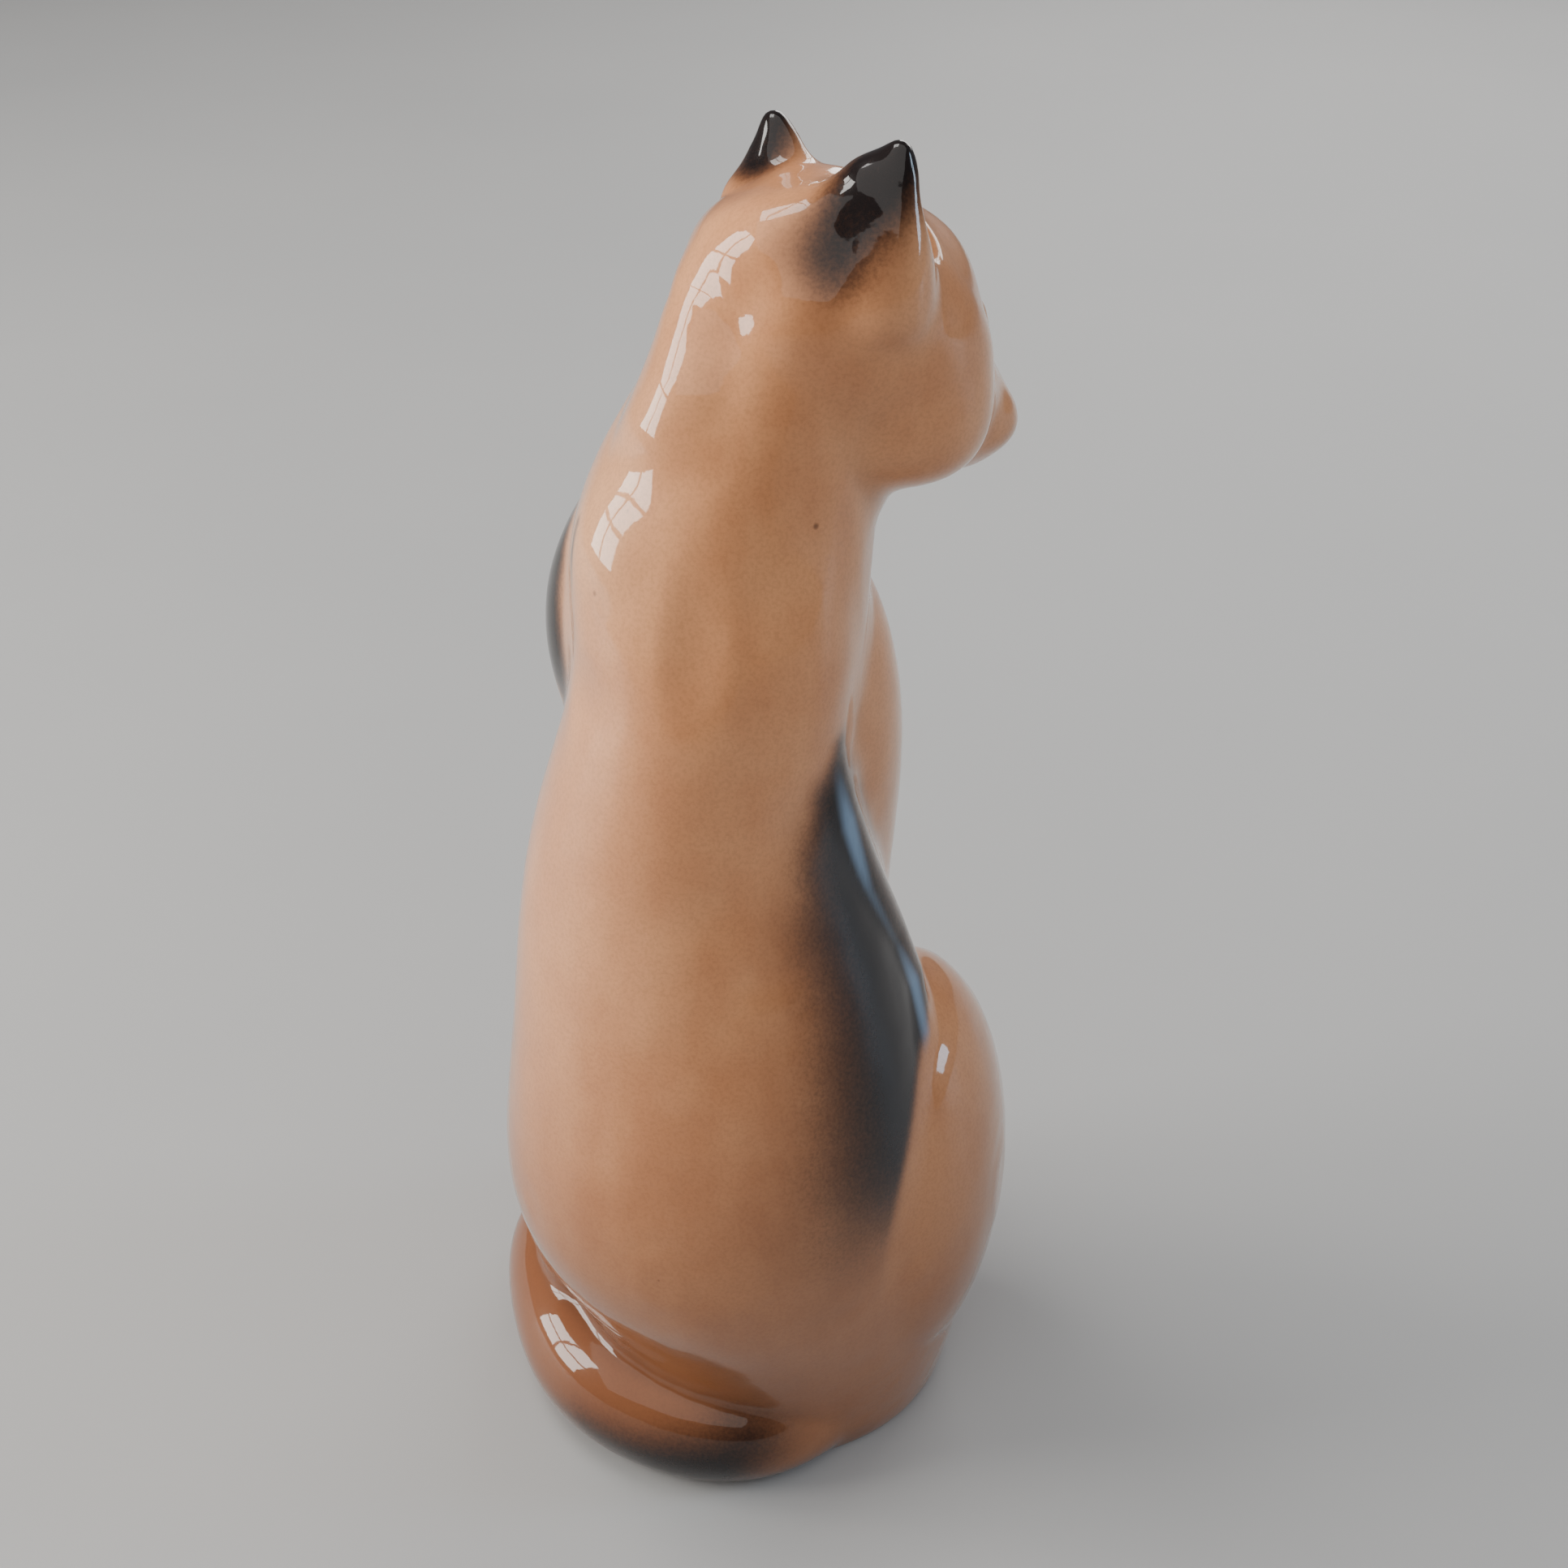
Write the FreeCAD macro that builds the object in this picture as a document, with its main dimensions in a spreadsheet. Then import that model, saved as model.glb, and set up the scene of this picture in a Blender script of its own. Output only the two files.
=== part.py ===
"""Seated ceramic cat figurine, 153 mm tall, as the castings and pressings that a potter lutes together.

Millimetres, +Z up. The cat sits on the plane z = 0 with its chest towards -Y, so its own left is +X,
and its head is turned to its right. The origin is on that plane, under the middle of the bounding box.

The figure is slip-cast: a hollow body and a hollow head with one neck bore between them, and solid
ears, legs, paws and tail luted on. Every luted piece is cut to the surface that it sits on, so the
pieces meet face to face. The eyes and the nose leather are thin raised beads of enamel.
"""

import FreeCAD, Part
import os

V = FreeCAD.Vector
UP = V(0, 0, 1)

# The torso is a loft of level ellipses: height, centre x, centre y, half width, half depth.
TORSO = {
    "sole": (0.0, -2.0, -3.4, 21.4, 21.5),
    "hock": (6.0, -2.0, -2.8, 22.6, 22.7),
    "rump": (14.0, -2.0, -2.0, 23.6, 23.8),
    "haunch": (28.0, 0.5, 2.2, 24.8, 25.2),
    "loin": (48.0, 1.9, 4.0, 24.2, 24.4),
    "waist": (66.0, 3.5, 2.8, 20.9, 21.4),
    "ribs": (84.0, 4.6, 1.2, 16.8, 18.4),
    "shoulder": (98.0, 3.0, -0.4, 14.6, 17.0),
    "collar": (107.0, 3.0, -1.8, 14.8, 16.2),
    "throat": (116.0, 2.5, -3.8, 14.6, 15.2),
    "nape": (126.0, -0.5, -6.0, 12.8, 13.8),
    "crown": (135.0, -3.8, -7.8, 12.4, 12.5),
}
TORSO_PARTS = ("z", "x", "y", "wide", "deep")

# The tail is a loft of upright ellipses along the floor: centre x, centre y, half width, half height.
TAIL = {
    "tail_root": (-14.0, 9.0, 3.6, 4.6),
    "tail_a": (-9.5, 15.0, 5.4, 6.4),
    "tail_b": (-1.0, 19.6, 6.0, 7.2),
    "tail_c": (8.0, 19.0, 6.4, 7.7),
    "tail_d": (16.6, 14.4, 6.6, 7.9),
    "tail_e": (22.8, 6.2, 6.6, 7.9),
    "tail_f": (26.6, -3.4, 6.4, 7.5),
    "tail_g": (26.0, -13.5, 5.9, 6.9),
    "tail_h": (22.4, -22.5, 5.1, 6.0),
    "tail_i": (17.6, -29.2, 4.0, 4.7),
    "tail_j": (13.6, -33.0, 2.2, 2.9),
}
TAIL_PARTS = ("x", "y", "wide", "high")
TAIL_SINK = 0.8  # how far the tail's ellipses reach below the floor, where they are cut flat

# The forelegs are lofts of level ellipses, as the torso is.
FORELEGS = {
    "r": {
        "arm_r_top": (110.0, -4.5, -7.0, 3.4, 4.6),
        "arm_r_joint": (99.0, -7.0, -8.0, 6.2, 8.8),
        "arm_r_upper": (85.0, -8.0, -9.4, 6.6, 9.4),
        "arm_r_elbow": (70.0, -7.4, -12.5, 6.0, 7.8),
        "arm_r_forearm": (54.0, -6.2, -16.0, 5.6, 6.6),
        "arm_r_shin": (34.0, -4.9, -19.2, 5.4, 5.9),
        "arm_r_wrist": (15.0, -4.8, -21.2, 5.4, 5.9),
        "arm_r_instep": (8.6, -5.0, -23.4, 5.6, 7.8),
        "arm_r_paw": (4.4, -5.2, -25.6, 5.8, 9.6),
        "arm_r_sole": (0.0, -5.2, -25.8, 5.2, 9.2),
    },
    "l": {
        "arm_l_top": (117.0, 13.4, -5.4, 2.8, 3.8),
        "arm_l_joint": (106.0, 16.2, -6.0, 6.0, 8.2),
        "arm_l_upper": (93.0, 16.4, -7.6, 6.8, 9.2),
        "arm_l_elbow": (78.0, 13.6, -11.0, 6.4, 8.2),
        "arm_l_forearm": (58.0, 9.4, -15.4, 5.8, 6.8),
        "arm_l_shin": (36.0, 6.7, -19.0, 5.5, 6.0),
        "arm_l_wrist": (15.0, 6.1, -21.2, 5.4, 5.9),
        "arm_l_instep": (8.6, 6.4, -23.4, 5.6, 7.8),
        "arm_l_paw": (4.4, 6.6, -25.6, 5.8, 9.6),
        "arm_l_sole": (0.0, 6.6, -25.8, 5.2, 9.2),
    },
}

# Ellipsoids: centre x, y, z, half width along x, half depth along y, half height along z.
BLOBS = {
    "thigh_r": (-16.2, -4.0, 31.0, 13.2, 20.0, 28.5),
    "thigh_l": (17.0, -4.0, 32.0, 12.6, 20.0, 28.5),
    "hindpaw_r": (-17.0, -21.0, 3.2, 6.2, 11.0, 5.6),
    "hindpaw_l": (15.8, -19.5, 3.2, 5.6, 10.0, 5.6),
    "eye_r": (-6.0, -12.6, 2.0, 3.0, 2.8, 2.6),
    "eye_l": (6.0, -12.6, 2.0, 3.0, 2.8, 2.6),
    "nose": (0.0, -22.4, -4.0, 2.0, 1.6, 1.5),
}
BLOB_PARTS = ("x", "y", "z", "wide", "deep", "high")

# The head is a loft of ellipses square to its own front-to-back axis, from the back of the skull to the
# lips: y along the axis, centre height, half width, half height. The face looks along the head's own -Y.
HEAD = {
    "head_a": (14.8, 1.6, 2.2, 2.1),
    "head_b": (13.2, 1.4, 6.4, 6.2),
    "head_c": (9.0, 1.0, 10.8, 10.6),
    "head_d": (2.4, 0.4, 13.2, 13.1),
    "head_e": (-5.0, -1.6, 13.6, 12.6),
    "head_f": (-11.0, -3.6, 11.8, 10.6),
    "head_g": (-15.6, -5.6, 8.4, 7.9),
    "head_h": (-19.4, -7.0, 6.6, 6.3),
    "head_i": (-22.6, -7.6, 5.0, 4.6),
    "head_j": (-24.2, -7.7, 2.4, 2.2),
}
HEAD_PARTS = ("y", "z", "wide", "high")

# The ears are lofts of ellipses square to the ear's own axis: height, half width, half thickness.
EAR = {
    "ear_root": (-4.0, 8.2, 6.0),
    "ear_low": (1.0, 7.2, 5.2),
    "ear_mid": (5.6, 5.0, 3.6),
    "ear_high": (9.4, 2.7, 2.0),
    "ear_tip": (12.0, 0.8, 0.7),
}
EAR_PARTS = ("z", "wide", "thick")

SIZES = {
    "wall": 3.4,
    "floor_thick": 4.0,
    "vent_radius": 1.8,
    "neck_cut": 117.0,
    "head_x": -6.9,
    "head_y": -9.0,
    "head_z": 133.6,
    "head_turn": 38.0,
    "head_nod": 20.0,
    "left_ear_x": 6.4,
    "left_ear_y": 3.6,
    "left_ear_z": 5.4,
    "right_ear_x": -7.6,
    "right_ear_y": 4.5,
    "right_ear_z": 6.8,
    "ear_splay": 14.0,
    "ear_lean": -15.0,
    "ear_twist": 5.0,
    "seat_x": -1.87,
    "seat_y": 3.45,
}

doc = FreeCAD.newDocument("cat_figurine")
dims = doc.addObject("Spreadsheet::Sheet", "dims")


def fill_sheet():
    """Puts every driving dimension in the sheet, each in a cell with an alias."""
    cells = dict(SIZES)
    groups = [(TORSO, TORSO_PARTS), (TAIL, TAIL_PARTS), (BLOBS, BLOB_PARTS)]
    groups += [(HEAD, HEAD_PARTS), (EAR, EAR_PARTS)]
    groups += [(levels, TORSO_PARTS) for levels in FORELEGS.values()]
    for group, parts in groups:
        for name, values in group.items():
            cells.update({f"{name}_{part}": value for part, value in zip(parts, values)})
    for row, (alias, value) in enumerate(cells.items(), start=1):
        dims.set(f"A{row}", alias)
        dims.set(f"B{row}", str(value))
        dims.setAlias(f"B{row}", alias)
    doc.recompute()


def at(name):
    """A cell's value."""
    return getattr(dims, name)


def bind(obj, **expressions):
    for prop, expression in expressions.items():
        obj.setExpression(prop.replace("__", "."), expression)
    return obj


def ring(name, major, minor, placement):
    """An ellipse whose half axes are expressions over the sheet."""
    made = doc.addObject("Part::Ellipse", f"{name}_ring")
    made.Placement = placement
    return bind(made, MajorRadius=major, MinorRadius=minor)


def level_ring(name, inset="0"):
    """A horizontal ellipse of the torso or a leg: its long axis runs front to back, its seam is in front."""
    made = ring(name, f"dims.{name}_deep - {inset}", f"dims.{name}_wide - {inset}",
                FreeCAD.Placement(V(), FreeCAD.Rotation(UP, -90)))
    return bind(made, Placement__Base__x=f"dims.{name}_x + dims.seat_x",
                Placement__Base__y=f"dims.{name}_y + dims.seat_y", Placement__Base__z=f"dims.{name}_z")


def loft(label, rings):
    made = doc.addObject("Part::Loft", label)
    made.Sections = rings
    made.Solid = True
    return made


def blob(name, inset="0", frame=None):
    """An ellipsoid, less an inset all round, in the row frame or in the frame given."""
    made = doc.addObject("Part::Ellipsoid", f"{name}_blob")
    made.Angle1, made.Angle2, made.Angle3 = -90, 90, 360
    frame = frame or FreeCAD.Placement(V(at("seat_x"), at("seat_y"), 0), FreeCAD.Rotation())
    middle = V(at(f"{name}_x"), at(f"{name}_y"), at(f"{name}_z"))
    made.Placement = frame.multiply(FreeCAD.Placement(middle, FreeCAD.Rotation()))
    return bind(made, Radius1=f"dims.{name}_high - {inset}", Radius2=f"dims.{name}_wide - {inset}",
                Radius3=f"dims.{name}_deep - {inset}")


def fuse(label, *shapes):
    made = doc.addObject("Part::MultiFuse", label)
    made.Shapes = list(shapes)
    return made


def cut(label, base, tool):
    made = doc.addObject("Part::Cut", label)
    made.Base, made.Tool = base, tool
    return made


def cut_by(label, base, tools):
    """The base less each tool in turn."""
    for i, tool in enumerate(tools[:-1]):
        base = cut(f"{label}_trim{i}", base, tool)
    return cut(label, base, tools[-1])


def common(label, *shapes):
    made = doc.addObject("Part::MultiCommon", label)
    made.Shapes = list(shapes)
    return made


def slab(label, low, high):
    """A block wider than the figure between two heights, which are expressions."""
    made = doc.addObject("Part::Box", label)
    made.Length = made.Width = 200
    made.Placement.Base = V(-100, -100, 0)
    return bind(made, Height=f"{high} - ({low})", Placement__Base__z=low)


def head_frame():
    """The head's own frame: its middle is the origin, and its face looks along -Y."""
    turn = FreeCAD.Rotation(UP, -at("head_turn"))
    nod = FreeCAD.Rotation(V(1, 0, 0), at("head_nod"))
    middle = V(at("head_x") + at("seat_x"), at("head_y") + at("seat_y"), at("head_z"))
    return FreeCAD.Placement(middle, turn.multiply(nod))


def head_loft(label, head, inset="0"):
    """The head, less an inset all round; an inset also shortens it by dropping its end rings."""
    names = list(HEAD) if inset == "0" else list(HEAD)[1:-3]
    rings = []
    for name in names:
        across = FreeCAD.Placement(V(0, at(f"{name}_y"), at(f"{name}_z")), FreeCAD.Rotation(V(1, 0, 0), 90))
        placed = head.multiply(across)
        rings.append(ring(name, f"dims.{name}_wide - {inset}", f"dims.{name}_high - {inset}", placed))
    return loft(label, rings)


def make_ear(name, side, head):
    """An ear. side is 1 on the cat's left and -1 on its right."""
    splay = FreeCAD.Rotation(V(0, 1, 0), side * at("ear_splay"))
    lean = FreeCAD.Rotation(V(1, 0, 0), at("ear_lean"))
    twist = FreeCAD.Rotation(UP, side * at("ear_twist"))
    root = V(at(f"{name}_x"), at(f"{name}_y"), at(f"{name}_z"))
    frame = head.multiply(FreeCAD.Placement(root, splay.multiply(lean).multiply(twist)))
    rings = []
    for level in EAR:
        height = FreeCAD.Placement(V(0, 0, at(f"{level}_z")), FreeCAD.Rotation())
        rings.append(ring(level, f"dims.{level}_wide", f"dims.{level}_thick", frame.multiply(height)))
    return loft("ear_form", rings)


def make_tail():
    names = list(TAIL)
    points = [V(at(f"{n}_x") + at("seat_x"), at(f"{n}_y") + at("seat_y"), 0) for n in names]
    rings = []
    for i, name in enumerate(names):
        heading = (points[min(i + 1, len(names) - 1)] - points[max(i - 1, 0)]).normalize()
        turn = FreeCAD.Rotation(-UP, heading.cross(-UP), heading, "ZXY")
        centre = points[i] + UP * (at(f"{name}_high") - TAIL_SINK)
        rings.append(ring(name, f"dims.{name}_high", f"dims.{name}_wide", FreeCAD.Placement(centre, turn)))
    return loft("tail_form", rings)


def make():
    above_floor = slab("above_floor", "0", "200")
    below_neck = slab("below_neck", "0", "dims.neck_cut")
    above_neck = slab("above_neck", "dims.neck_cut", "200")
    head = head_frame()
    torso = loft("torso", [level_ring(n) for n in TORSO])
    hollow = loft("torso_hollow", [level_ring(n, "dims.wall") for n in TORSO])
    body_form = fuse("body_form", torso, blob("thigh_r"), blob("thigh_l"))
    body_outer = common("body_outer", body_form, below_neck)
    hollow_form = fuse("hollow_form", hollow, blob("thigh_r", "dims.wall"), blob("thigh_l", "dims.wall"),
                       head_loft("head_hollow", head, "dims.wall"))
    above_sole = slab("above_sole", "dims.floor_thick", "200")
    vent = doc.addObject("Part::Cylinder", "vent")
    vent_low = "-0.5 * dims.floor_thick"
    bind(vent, Radius="dims.vent_radius", Height="2 * dims.floor_thick", Placement__Base__z=vent_low)
    cavity = fuse("cavity", common("cavity_form", hollow_form, above_sole), vent)
    neck_stub = common("neck_stub", torso, above_neck)
    head_form = fuse("head_form", neck_stub, head_loft("head_loft", head))
    head_outer = cut("head_outer", head_form, body_outer)
    nodes = {}
    nodes["body_shell"] = cut("body_shell", body_outer, cavity)
    nodes["head_shell"] = cut("head_shell", head_outer, cavity)
    nodes["left_ear"] = cut("left_ear", make_ear("left_ear", 1, head), head_form)
    nodes["right_ear"] = cut("right_ear", make_ear("right_ear", -1, head), head_form)
    for side, tag in (("left", "l"), ("right", "r")):
        nodes[f"{side}_eye"] = cut(f"{side}_eye", blob(f"eye_{tag}", "0", head), head_form)
    nodes["nose_leather"] = cut("nose_leather", blob("nose", "0", head), head_form)
    taken = [body_form]
    for side, tag in (("left", "l"), ("right", "r")):
        limb = loft(f"{side}_limb", [level_ring(n) for n in FORELEGS[tag]])
        nodes[f"{side}_foreleg"] = cut_by(f"{side}_foreleg", limb, taken)
        taken = taken + [limb]
    for side, tag in (("left", "l"), ("right", "r")):
        paw = common(f"{side}_paw", blob(f"hindpaw_{tag}"), above_floor)
        nodes[f"{side}_hind_paw"] = cut_by(f"{side}_hind_paw", paw, taken)
        taken = taken + [paw]
    tail = common("tail_whole", make_tail(), above_floor)
    nodes["tail"] = cut_by("tail", tail, [body_form, blob("hindpaw_l")])
    doc.recompute()
    return nodes


def export(nodes):
    """Checks every object and shape, then writes each node's solids."""
    failed = [o.Label for o in doc.Objects if "Invalid" in o.State or "Error" in o.State]
    if failed:
        raise SystemExit(f"these objects failed: {failed}")
    os.makedirs("parts", exist_ok=True)
    for name, node in nodes.items():
        shape = node.Shape
        if shape.isNull() or not shape.isValid():
            raise SystemExit(f"{name} has no valid shape")
        print(f"{name:16s} {len(shape.Solids)} solid, {shape.Volume / 1000:8.3f} cm3, faces {len(shape.Faces)}")
        shape.exportStep(f"parts/{name}.step")


fill_sheet()
export(make())
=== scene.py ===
"""The looks of the seated ceramic cat.

The CAD solids are read back as a distance field on a fine grid, softened the way a thick glaze softens
a casting, and given the modelling that CAD leaves out: shoulder blades, toes, face and ear hollows.
One glazed skin is drawn from that field and parted into the pieces that the potter luted together.
The sculpting works in millimetres and the meshes are in metres, all in the row frame.
"""

import math

import bpy
import numpy as np
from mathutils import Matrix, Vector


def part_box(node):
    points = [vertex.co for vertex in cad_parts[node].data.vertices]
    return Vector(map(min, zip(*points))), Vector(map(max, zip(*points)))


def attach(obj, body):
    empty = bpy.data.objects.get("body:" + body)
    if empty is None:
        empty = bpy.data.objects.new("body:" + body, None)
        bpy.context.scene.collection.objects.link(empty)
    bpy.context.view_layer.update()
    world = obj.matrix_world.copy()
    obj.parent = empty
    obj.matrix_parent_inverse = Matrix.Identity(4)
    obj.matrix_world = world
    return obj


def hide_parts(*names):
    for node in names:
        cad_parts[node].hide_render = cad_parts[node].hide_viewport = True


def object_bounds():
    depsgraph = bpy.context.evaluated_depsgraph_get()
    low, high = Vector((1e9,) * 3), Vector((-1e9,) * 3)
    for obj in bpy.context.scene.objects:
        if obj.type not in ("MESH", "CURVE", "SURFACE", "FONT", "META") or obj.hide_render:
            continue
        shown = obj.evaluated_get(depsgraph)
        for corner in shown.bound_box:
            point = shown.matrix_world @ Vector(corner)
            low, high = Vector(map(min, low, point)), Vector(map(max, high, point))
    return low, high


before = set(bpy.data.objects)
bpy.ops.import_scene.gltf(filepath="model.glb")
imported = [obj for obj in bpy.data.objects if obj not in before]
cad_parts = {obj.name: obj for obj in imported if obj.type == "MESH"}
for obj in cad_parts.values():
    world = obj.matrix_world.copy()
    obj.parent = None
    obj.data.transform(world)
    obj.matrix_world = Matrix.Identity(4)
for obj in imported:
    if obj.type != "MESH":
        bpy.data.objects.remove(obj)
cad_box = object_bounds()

import openvdb as vdb
from mathutils import Matrix, Vector

MM = 0.001
STEP = 0.5  # the grid's spacing
REACH = 4.8  # how far from a surface its distance is kept
MARGIN = 4.0  # how far the grid goes past the CAD's box

CLAY_NODES = (
    "body_shell",
    "head_shell",
    "left_ear",
    "right_ear",
    "left_foreleg",
    "right_foreleg",
    "left_hind_paw",
    "right_hind_paw",
    "tail",
)

LOW = np.floor((np.array(cad_box[0]) / MM - MARGIN) / STEP).astype(int)
HIGH = np.ceil((np.array(cad_box[1]) / MM + MARGIN) / STEP).astype(int)
SHAPE = tuple(HIGH - LOW + 1)
AXES = [(LOW[a] + np.arange(SHAPE[a])).astype(np.float32) * STEP for a in range(3)]


# ---------------------------------------------------------------- fields


def node_arrays(node):
    """A CAD node's points, in millimetres, and its triangles."""
    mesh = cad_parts[node].data
    mesh.calc_loop_triangles()
    points = np.empty(len(mesh.vertices) * 3, np.float32)
    mesh.vertices.foreach_get("co", points)
    corners = np.empty(len(mesh.loop_triangles) * 3, np.int32)
    mesh.loop_triangles.foreach_get("vertices", corners)
    return points.reshape(-1, 3) / MM, corners.reshape(-1, 3)


def distance_field(points, corners):
    """Signed distance to a closed surface on the grid, negative inside."""
    grid = vdb.FloatGrid.createLevelSetFromPolygons(
        points.astype(float),
        triangles=corners.astype(np.uint32),
        transform=vdb.createLinearTransform(voxelSize=STEP),
        halfWidth=REACH / STEP,
    )
    field = np.full(SHAPE, REACH, np.float32)
    grid.copyToArray(field, ijk=tuple(int(i) for i in LOW))
    return field


def polygons(grid, level):
    """The surface where the grid's field equals level: its points and triangles."""
    points, triangles, quads = grid.convertToPolygons(isovalue=level, adaptivity=0.0)
    triangles, quads = np.array(triangles, int).reshape(-1, 3), np.array(quads, int)
    corners = np.concatenate([triangles, quads[:, [0, 1, 2]], quads[:, [0, 2, 3]]])
    return np.array(points, float), corners


def surface(field, level=0.0):
    """The same for a field on the figure's own grid."""
    grid = vdb.FloatGrid(REACH)
    grid.copyFromArray(np.ascontiguousarray(field), ijk=tuple(int(i) for i in LOW))
    grid.transform = vdb.createLinearTransform(voxelSize=STEP)
    return polygons(grid, level)


def blur(field, sigma):
    """Gaussian blur, sigma in millimetres."""
    taps = int(math.ceil(2.6 * sigma / STEP))
    offsets = np.arange(-taps, taps + 1)
    weights = np.exp(-0.5 * (offsets * STEP / sigma) ** 2)
    weights = (weights / weights.sum()).astype(np.float32)
    for axis in range(3):
        pad = [(0, 0)] * 3
        pad[axis] = (taps, taps)
        padded = np.pad(field, pad, mode="edge")
        field = np.zeros_like(field)
        for i, weight in enumerate(weights):
            cut = [slice(None)] * 3
            cut[axis] = slice(i, i + field.shape[axis])
            field += weight * padded[tuple(cut)]
    return field


def enclosed(solid):
    """Where the solid is met in all six axis directions."""
    inside = np.ones(solid.shape, bool)
    for axis in range(3):
        inside &= np.logical_or.accumulate(solid, axis=axis)
        inside &= np.flip(np.logical_or.accumulate(np.flip(solid, axis), axis=axis), axis)
    return inside


def sample(field, points):
    """The field at points in millimetres, read between the grid's corners."""
    at = points / STEP - LOW
    at = np.clip(at, 0, np.array(SHAPE) - 1.001)
    low = np.floor(at).astype(int)
    part = at - low
    value = np.zeros(len(points))
    for corner in range(8):
        step = np.array([corner & 1, corner >> 1 & 1, corner >> 2 & 1])
        weight = np.prod(np.where(step, part, 1 - part), axis=1)
        i, j, k = (low + step).T
        value += weight * field[i, j, k]
    return value


def slope(field, points, reach=0.5 * STEP):
    """The field's gradient at points."""
    gradient = np.empty_like(points)
    for axis in range(3):
        shift = np.zeros(3)
        shift[axis] = reach
        gradient[:, axis] = (sample(field, points + shift) - sample(field, points - shift)) / (2 * reach)
    return gradient


def ramp(value, low, high):
    """0 below low, 1 above high and a smooth rise between."""
    t = np.clip((value - low) / (high - low), 0, 1)
    return t * t * (3 - 2 * t)


def soft_min(a, b, reach):
    """The lesser of two fields, rounded where they are within reach of each other."""
    blend = np.maximum(reach - np.abs(a - b), 0) / reach
    return np.minimum(a, b) - blend * blend * reach / 4


# ---------------------------------------------------------------- clay tools


class Place:
    """A local frame: millimetres along its own axes from its own origin."""

    def __init__(self, origin=(0, 0, 0), turn=None):
        self.origin = np.array(origin, float)
        self.turn = np.array(turn if turn is not None else Matrix.Identity(3), float)

    def child(self, origin, turn=None):
        turn = np.array(turn if turn is not None else Matrix.Identity(3), float)
        return Place(self.world(origin), self.turn @ turn)

    def world(self, point):
        return self.origin + self.turn @ np.array(point, float)

    def local(self, coords):
        moved = [coords[a] - self.origin[a] for a in range(3)]
        return [sum(self.turn[b][a] * moved[b] for b in range(3)) for a in range(3)]


WORLD = Place()


def spin(axis, degrees):
    return Matrix.Rotation(math.radians(degrees), 3, axis)


def ellipsoid(p, radii):
    """Roughly the distance to an ellipsoid about the frame's origin."""
    near = np.sqrt(sum((p[a] / radii[a]) ** 2 for a in range(3)))
    steep = np.sqrt(sum((p[a] / radii[a] ** 2) ** 2 for a in range(3))) + 1e-6
    return near * (near - 1) / steep


def strand(p, points, radii):
    """The distance to a rod through points, its radius changing between them."""
    best = None
    for (a, b), (ra, rb) in zip(zip(points, points[1:]), zip(radii, radii[1:])):
        a, b = np.array(a, float), np.array(b, float)
        along = b - a
        t = sum((p[i] - a[i]) * along[i] for i in range(3)) / along.dot(along)
        t = np.clip(t, 0, 1)
        gap = np.sqrt(sum((p[i] - a[i] - t * along[i]) ** 2 for i in range(3))) - (ra + (rb - ra) * t)
        best = gap if best is None else np.minimum(best, gap)
    return best


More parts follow.
